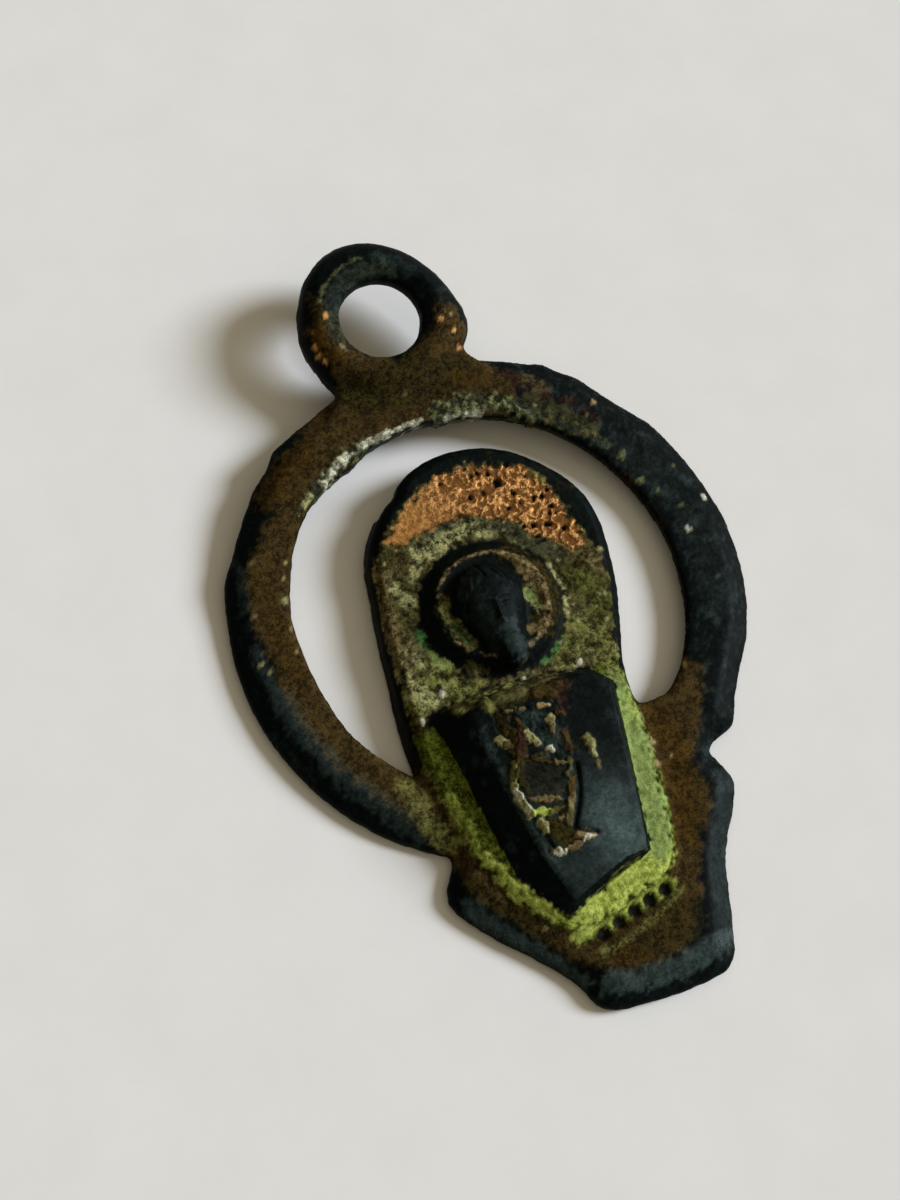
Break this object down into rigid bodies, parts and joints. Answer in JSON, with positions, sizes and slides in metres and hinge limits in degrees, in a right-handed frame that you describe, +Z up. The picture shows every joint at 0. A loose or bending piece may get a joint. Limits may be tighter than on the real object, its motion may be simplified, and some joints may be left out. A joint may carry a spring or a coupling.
{
  "type": "religious pendant",
  "caption": "Cast openwork pendant with a hanging eye, round frame, arched tablet with a haloed figure in relief, and tapering foot.",
  "frame": {"origin": "bottom centre of the bounding box, on the ground that the pendant lies on", "axes": "+X across the pendant, +Y from the foot to the hanging eye, +Z up out of the figure's face"},
  "size_m": [0.016, 0.0248, 0.0026],
  "materials": {
    "casting": "dark patinated cast copper alloy with green corrosion and a bare coppery patch"
  },
  "bodies": {
    "root": {"medal": "casting"}
  },
  "joints": []
}
